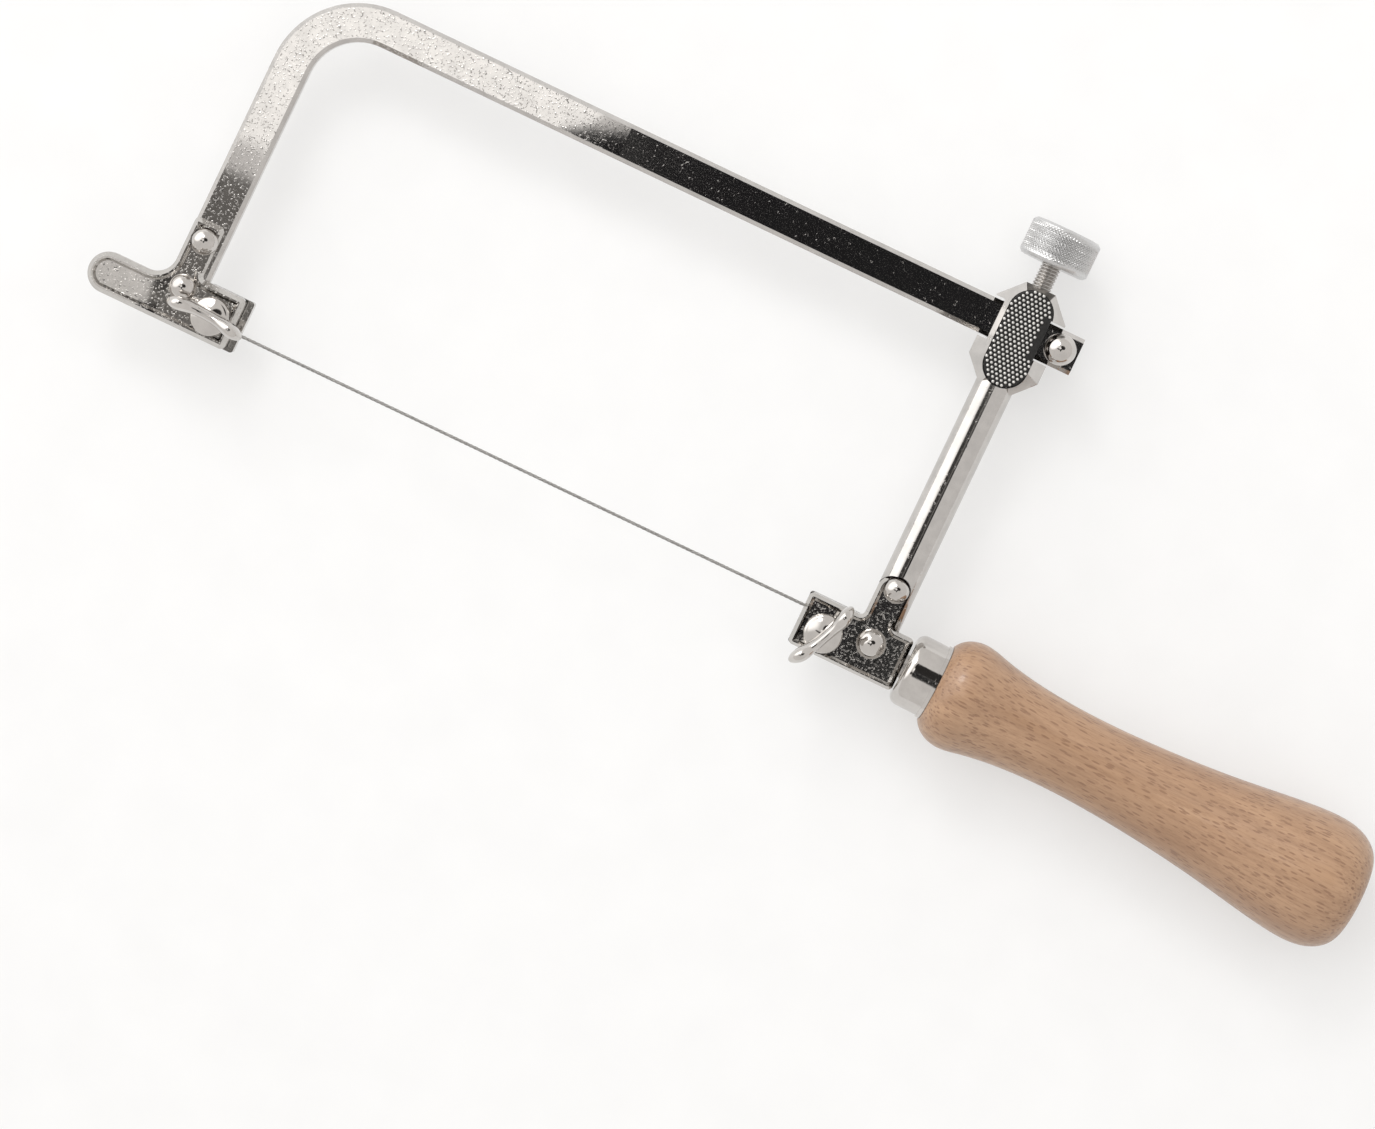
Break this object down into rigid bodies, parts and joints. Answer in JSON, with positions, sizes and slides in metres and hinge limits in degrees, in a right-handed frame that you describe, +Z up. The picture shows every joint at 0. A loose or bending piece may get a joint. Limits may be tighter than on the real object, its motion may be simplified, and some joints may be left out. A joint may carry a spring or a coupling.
{
  "type": "adjustable wire cutting saw",
  "caption": "Hand wire saw for clay: a flat nickel-plated bow slides through a block on a round post, with a cutting wire clamped by wing screws and a turned beech handle.",
  "frame": {"origin": "middle of the part's bounding box in X and Y, on the surface the saw lies flat on", "axes": "+X along the cutting wire from the finger tab to the handle, +Y from the wire to the bow's spine, +Z up out of the flat side that carries the wing screws"},
  "size_m": [0.3366, 0.1301, 0.0322],
  "materials": {
    "nickel": "bright nickel plate",
    "steel": "plain zinc-plated steel",
    "knob": "satin, diamond knurled",
    "wire": "gritty cutting wire",
    "beech": "clear lacquered beech"
  },
  "bodies": {
    "frame": {"wooden_handle": "beech", "handle_tang": "steel", "ferrule": "nickel", "rear_bracket": "nickel", "rear_rivet_upper": "nickel", "rear_rivet_lower": "nickel", "post": "nickel", "slider_block": "nickel"},
    "bow": {"bow": "nickel", "front_bracket": "nickel", "front_rivet_upper": "nickel", "front_rivet_lower": "nickel", "stop_rivet": "nickel", "cutting_wire": "wire"},
    "lock_stud": {"lock_stud": "steel"},
    "lock_knob": {"lock_knob": "knob"},
    "front_wing": {"front_wing_screw": "nickel"},
    "front_jaw": {"front_jaw": "nickel"},
    "rear_wing": {"rear_wing_screw": "nickel"},
    "rear_jaw": {"rear_jaw": "nickel"}
  },
  "joints": [
    {"name": "bow_slide", "type": "slide", "parent": "frame", "child": "bow", "axis": [1, 0, 0], "range_m": [-0.0015, 0.14], "deforming": ["cutting_wire"]},
    {"name": "lock_screw_travel", "type": "slide", "parent": "frame", "child": "lock_stud", "axis": [0, 1, 0], "range_m": [0, 0.0025]},
    {"name": "lock_knob_turn", "type": "hinge", "parent": "lock_stud", "child": "lock_knob", "pos_m": [0.03747, 0.03875, 0.0161], "axis": [0, 1, 0], "range_deg": [0, 1080]},
    {"name": "front_wing_turn", "type": "hinge", "parent": "bow", "child": "front_wing", "pos_m": [-0.1377, -0.041, 0.0161], "axis": [0, 0, 1], "range_deg": [0, 540]},
    {"name": "front_jaw_slide", "type": "slide", "parent": "bow", "child": "front_jaw", "axis": [0, 0, -1], "range_m": [0, 0.0011]},
    {"name": "rear_wing_turn", "type": "hinge", "parent": "frame", "child": "rear_wing", "pos_m": [0.0259, -0.0463, 0.0161], "axis": [0, 0, 1], "range_deg": [0, 540]},
    {"name": "rear_jaw_slide", "type": "slide", "parent": "frame", "child": "rear_jaw", "axis": [0, 0, -1], "range_m": [0, 0.0011]}
  ],
  "couplings": [
    {"joint": "lock_screw_travel", "follows": "lock_knob_turn", "m_per_rad": 0.00012732},
    {"joint": "front_jaw_slide", "follows": "front_wing_turn", "m_per_rad": 0.00011141},
    {"joint": "rear_jaw_slide", "follows": "rear_wing_turn", "m_per_rad": 0.00011141}
  ]
}
